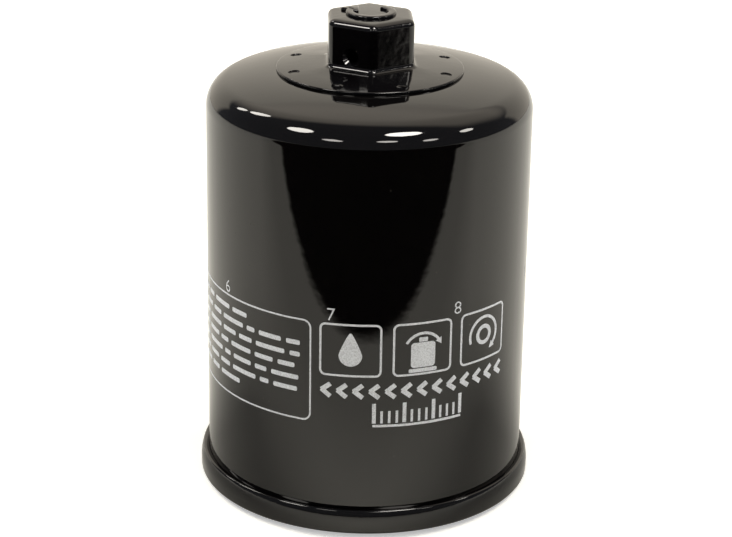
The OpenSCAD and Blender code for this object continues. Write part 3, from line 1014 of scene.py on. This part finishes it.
# %% [markdown]
# ## Printed ink
# The marks on the side are screen printed in white ink: a film a few hundredths of a millimetre thick.
# The artwork is laid out flat, as on the screen, and thickened. Then it is cut every millimetre or so and
# wrapped on the can. The marks are generic: numbers 1 to 8 for counting how far the filter has turned, a
# panel of plain bars, three pictograms, a row of turning arrows and a small scale.

# %% Ink


def screen_ink(name):
    """White screen ink, a little dusty where the mesh left it thin."""
    material, tree, place = new_material(name)
    mesh_mm = 0.22
    screen = add_node(tree, "TexNoise", {"Vector": place, "Scale": 1 / (mesh_mm * MM), "Detail": 2.0})
    thick = add_node(tree, "MapRange", {"Value": screen.outputs[0], "From Min": 0.3, "From Max": 0.6})
    coat(tree, thick.outputs[0], ("#aeb0b5", "#d6d9de"), [(screen.outputs[0], 0.3, 0.01)], Roughness=0.38)
    return material


white_ink = screen_ink("white screen ink")
ink_sunk = 0.02
ink_t = 0.05
wrap_step = 0.9
off_points = 0.017  # keeps the cuts off the artwork's own points


def along(angle):
    """Distance round the can, in millimetres, of an angle from its front."""
    return can_r * math.radians(angle)


def bar(width, height, centre, rounding=0.0):
    """A flat bar, its corners rounded."""
    bpy.ops.object.select_all(action="DESELECT")
    bpy.ops.mesh.primitive_plane_add(size=1.0)
    piece = bpy.context.object
    piece.data.transform(shift(*centre) @ Matrix.Diagonal((width * MM, height * MM, 1.0, 1.0)))
    if rounding:
        edit_all()
        bpy.ops.mesh.bevel(offset=rounding * MM, segments=5, affect="VERTICES")
        bpy.ops.object.mode_set(mode="OBJECT")
    return piece


def disc(radius, centre, points=40):
    """A flat round."""
    bpy.ops.object.select_all(action="DESELECT")
    bpy.ops.mesh.primitive_circle_add(vertices=points, radius=radius * MM, fill_type="NGON")
    piece = bpy.context.object
    piece.data.transform(shift(*centre))
    return piece


def hollow_out(piece, stroke):
    """Keeps only a rim of a flat shape."""
    pick(piece)
    edit_all("FACE")
    bpy.ops.mesh.inset(thickness=stroke * MM)
    bpy.ops.mesh.delete(type="FACE")
    bpy.ops.object.mode_set(mode="OBJECT")
    return piece


def numeral(value, height, centre):
    """One number, its outline made a mesh while it is still large."""
    bpy.ops.object.select_all(action="DESELECT")
    bpy.ops.object.text_add()
    text = bpy.context.object.data
    text.body = str(value)
    text.align_x = "CENTER"
    text.align_y = "CENTER"
    text.offset = -0.01
    bpy.ops.object.convert(target="MESH")
    piece = bpy.context.object
    tall = max(p.co.y for p in piece.data.vertices) - min(p.co.y for p in piece.data.vertices)
    piece.data.transform(shift(*centre) @ Matrix.Scale(height * MM / tall, 4))
    return piece


def print_on_can(name, shapes):
    """Joins flat shapes, gives them the ink's thickness and wraps them on the can."""
    piece = thicken(join(shapes), ink_t)
    piece.name = name
    across = [p.co.x / MM for p in piece.data.vertices]
    first = math.ceil(min(across) / wrap_step)
    last = math.floor(max(across) / wrap_step)
    bpy.ops.object.mode_set(mode="EDIT")
    for number in range(first, last + 1):
        bpy.ops.mesh.select_all(action="SELECT")
        bpy.ops.mesh.bisect(plane_co=((number * wrap_step + off_points) * MM, 0, 0), plane_no=(1, 0, 0))
    bpy.ops.mesh.select_all(action="SELECT")
    bpy.ops.mesh.remove_doubles(threshold=1e-7)
    bpy.ops.object.mode_set(mode="OBJECT")
    for point in piece.data.vertices:
        angle = point.co.x / (can_r * MM)
        out = (can_r - ink_sunk) * MM + point.co.z
        point.co = (out * math.sin(angle), -out * math.cos(angle), point.co.y)
    finish_piece(piece, 30)
    dress(piece, HOUSING, white_ink)


# %% Turn numbers
number_z = 46.8
seven_at = -12.0
numbers = [numeral(n, 2.5, (along(seven_at + 45 * (n - 7)), number_z)) for n in range(1, 9)]
print_on_can("turn_numbers", numbers)

# %% Notice panel
panel_right = along(-18.8)
panel_left = along(-121)
panel_low = 24.0
panel_high = 45.3
stroke = 0.34
panel_mid = ((panel_left + panel_right) / 2, (panel_low + panel_high) / 2)
notice = [hollow_out(bar(panel_right - panel_left, panel_high - panel_low, panel_mid, 1.7), stroke)]
ROW_ENDS = (-46.0, -23.0, -23.0, -25.0, -23.5, -24.0, -50.0)
WORD_LENGTHS = (4.6, 6.2, 3.0, 5.4, 2.2, 7.0, 3.8)
word_gap = 1.2
row_pitch = 2.45
first_row = 42.6
for row, ends_at in enumerate(ROW_ENDS):
    edge = along(ends_at)
    word = row * 2
    while edge - WORD_LENGTHS[word % 7] > panel_left + 2.5:
        length = WORD_LENGTHS[word % 7]
        notice.append(bar(length, 0.95, (edge - length / 2, first_row - row * row_pitch), 0.3))
        edge -= length + word_gap
        word += 1
print_on_can("notice_panel", notice)

# %% Pictograms


def spread(left, right, count):
    """Places spread evenly from left to right."""
    return [left + (right - left) * i / (count - 1) for i in range(count)]


sign_z = 39.7
sign_h = 11.0
sign_w = 12.2
sign_x = spread(along(-15.9) + sign_w / 2, along(56) - sign_w / 2, 3)
signs = [hollow_out(bar(sign_w, sign_h, (x, sign_z), 1.2), 0.42) for x in sign_x]

drop_r = 2.3
drop = disc(drop_r, (0, 0), 48)
for point in drop.data.vertices:
    rise = point.co.y / (drop_r * MM)
    if rise > 0:
        point.co.x *= 1 - 0.6 * rise
        point.co.y *= 2.0
drop.data.transform(shift(sign_x[0], sign_z - 1.0))
signs.append(drop)

body_at = (sign_x[1], sign_z - 1.3)
signs += [bar(5.0, 5.2, body_at, 0.7), bar(5.8, 0.8, (body_at[0], body_at[1] - 3.2), 0.3),
          bar(1.8, 0.9, (body_at[0], body_at[1] + 3.2), 0.2)]
signs += turning_arrow(3.9, 0.55, 150, -120, (body_at[0], body_at[1] + 0.6))

ring_at = (sign_x[2], sign_z)
signs.append(hollow_out(disc(2.1, ring_at), 0.8))
signs += turning_arrow(3.7, 0.6, 200, -250, ring_at)
print_on_can("pictograms", signs)

# %% Turning arrows and scale
chevron_z = 31.2
chevron_count = 13
chevrons = []
for x in spread(along(-13.5), along(53.5), chevron_count):
    for side in (1, -1):
        arm = bar(2.3, 0.95, (0, 0), 0.1)
        arm.data.transform(shift(x, chevron_z + side * 0.62) @ turned(38 * side))
        chevrons.append(arm)
print_on_can("turning_arrows", chevrons)

scale_left = along(3.2)
scale_right = along(35)
tick_count = 13
scale_z = 23.9
ticks = [bar(scale_right - scale_left + 0.5, 0.5, ((scale_left + scale_right) / 2, scale_z))]
for number, x in enumerate(spread(scale_left, scale_right, tick_count)):
    wide, tall = (0.5, 2.6) if number % 4 else (0.75, 4.2)
    ticks.append(bar(wide, tall, (x, scale_z + tall / 2 + 0.55)))
print_on_can("turn_scale", ticks)

# %% [markdown]
# ## Finishes of the frame's own pieces
# The element, the caps, the tube and the small parts of the valve are right as they are drawn in the
# frame, so they keep their shape and only get the finish of the real piece.

# %% Finishes
FINISHES = {"lower_end_cap upper_end_cap media_seam_clip bypass_cage seaming_lid": tinned_steel,
            "seam_compound": seam_compound, "lower_adhesive upper_adhesive": bed_adhesive,
            "pleated_media": filter_paper, "center_tube": perforated_steel,
            "bypass_seat_washer": washer_brass, "bypass_seal": seal_rubber, "bypass_poppet": turned_steel,
            "element_spring bypass_spring": spring_steel, "canister_shell": can_enamel,
            "wrench_nut": nut_enamel, "thread_plate": plated_steel, "mounting_gasket": gasket_rubber,
            "drainback_valve": valve_rubber}
finished = set()
for names, finish in FINISHES.items():
    for name in names.split():
        finished.add(name)
        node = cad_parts[name]
        if node.data.materials:
            node.material_slots[0].material = finish
        else:
            node.data.materials.append(finish)
print("finished:", len(finished), "without a finish:", sorted(set(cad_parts) - finished))
